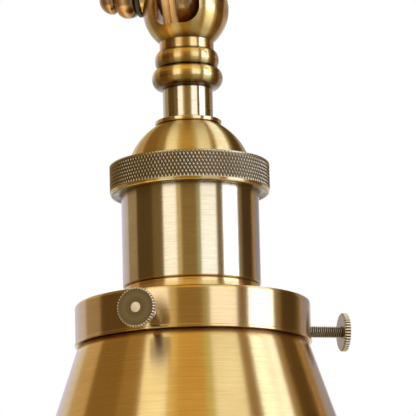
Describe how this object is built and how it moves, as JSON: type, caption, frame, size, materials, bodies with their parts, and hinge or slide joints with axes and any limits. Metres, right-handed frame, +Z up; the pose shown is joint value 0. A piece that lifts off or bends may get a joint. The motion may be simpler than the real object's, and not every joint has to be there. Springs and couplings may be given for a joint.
{
  "type": "swing arm wall lamp",
  "caption": "Swing arm wall lamp in antique brass: round canopy, two tube arms on slotted ball knuckles, and a tilting lamp holder with a knurled ring and a conical metal shade.",
  "frame": {"origin": "centre of the wall plate's back face, between its two screw slots", "axes": "+Z up, +Y into the wall, so the lamp reaches out along -Y and its head hangs at -X"},
  "size_m": [0.3671, 0.3671, 0.3323],
  "materials": {
    "antique_brass": "brushed, antiqued and lacquered",
    "shade_brass": "brushed antique brass outside, white enamel inside",
    "aged_bronze": "darkened, knurled",
    "steel": "zinc plated",
    "friction_washer": "matte",
    "black_washer": "satin black",
    "cable": "smooth sheath",
    "green_screw": "green",
    "connector": "matte orange",
    "ceramic": "glazed porcelain",
    "contact_brass": "bright",
    "bulb_glass": "clear",
    "filament": "phosphor strips"
  },
  "bodies": {
    "wall_mount": {"mounting_plate": "steel", "canopy": "antique_brass", "canopy_studs": "steel", "cap_nuts": "antique_brass", "ground_screw": "green_screw", "hub_nipple": "steel", "hub_lock_nut": "steel", "hub_tube": "antique_brass", "wall_tongue": "antique_brass", "supply_cable": "cable", "wire_connectors": "connector"},
    "inner_arm": {"inner_yoke": "antique_brass", "wall_pivot_stud": "steel", "wall_friction_washers": "friction_washer", "inner_arm_nipples": "steel", "inner_arm_tube": "antique_brass", "elbow_tongue": "antique_brass", "inner_arm_cable": "cable"},
    "wall_knob": {"wall_knob": "antique_brass", "wall_knob_washer": "black_washer"},
    "outer_arm": {"elbow_yoke": "antique_brass", "elbow_pivot_stud": "steel", "elbow_friction_washers": "friction_washer", "outer_arm_nipples": "steel", "outer_arm_tube": "antique_brass", "arm_end_ball": "antique_brass", "arm_end_finial": "antique_brass", "post_tube": "antique_brass", "head_tongue": "antique_brass", "outer_arm_cable": "cable"},
    "elbow_knob": {"elbow_knob": "antique_brass", "elbow_knob_washer": "black_washer"},
    "head": {"head_yoke": "antique_brass", "head_pivot_stud": "steel", "head_friction_washers": "friction_washer", "stem_nipple": "steel", "stem_tube": "antique_brass", "stem_collar": "antique_brass", "cap_lock_nut": "steel", "socket_cap": "antique_brass", "socket_shell": "antique_brass", "socket_insulator": "ceramic", "screw_shell": "contact_brass", "center_contact": "contact_brass", "terminal_screws": "contact_brass", "shade_fitter": "antique_brass", "shade": "shade_brass", "bulb_cap": "steel", "bulb_glass": "bulb_glass", "bulb_filament": "filament", "head_cable": "cable", "head_wires": "cable"},
    "head_knob": {"head_knob": "antique_brass", "head_knob_washer": "black_washer"},
    "knurled_ring": {"knurled_ring": "aged_bronze"},
    "shade_screw_1": {"shade_screw_1": "aged_bronze"},
    "shade_screw_2": {"shade_screw_2": "aged_bronze"},
    "shade_screw_3": {"shade_screw_3": "aged_bronze"}
  },
  "joints": [
    {"name": "wall_swing", "type": "hinge", "parent": "wall_mount", "child": "inner_arm", "pos_m": [0, -0.06, 0], "axis": [0, 0, 1], "range_deg": [-88, 88]},
    {"name": "elbow_swing", "type": "hinge", "parent": "inner_arm", "child": "outer_arm", "pos_m": [0, -0.29, 0], "axis": [0, 0, 1], "range_deg": [0, 180]},
    {"name": "head_tilt", "type": "hinge", "parent": "outer_arm", "child": "head", "pos_m": [-0.23, -0.29, -0.044], "axis": [1, 0, 0], "range_deg": [-90, 90]},
    {"name": "wall_knob_turn", "type": "hinge", "parent": "inner_arm", "child": "wall_knob", "pos_m": [0, -0.06, 0], "axis": [0, 0, -1], "range_deg": [0, 360]},
    {"name": "elbow_knob_turn", "type": "hinge", "parent": "outer_arm", "child": "elbow_knob", "pos_m": [0, -0.29, 0], "axis": [0, 0, -1], "range_deg": [0, 360]},
    {"name": "head_knob_turn", "type": "hinge", "parent": "head", "child": "head_knob", "pos_m": [-0.23, -0.29, -0.044], "axis": [-1, 0, 0], "range_deg": [0, 360]},
    {"name": "ring_turn", "type": "hinge", "parent": "head", "child": "knurled_ring", "pos_m": [-0.23, -0.29, -0.094], "axis": [0, 0, 1], "range_deg": [0, 360]},
    {"name": "shade_screw_1_out", "type": "slide", "parent": "head", "child": "shade_screw_1", "axis": [0.9135, 0.4067, 0], "range_m": [0, 0.0024]},
    {"name": "shade_screw_2_out", "type": "slide", "parent": "head", "child": "shade_screw_2", "axis": [-0.809, 0.5878, 0], "range_m": [0, 0.0024]},
    {"name": "shade_screw_3_out", "type": "slide", "parent": "head", "child": "shade_screw_3", "axis": [-0.1045, -0.9945, 0], "range_m": [0, 0.0024]}
  ]
}
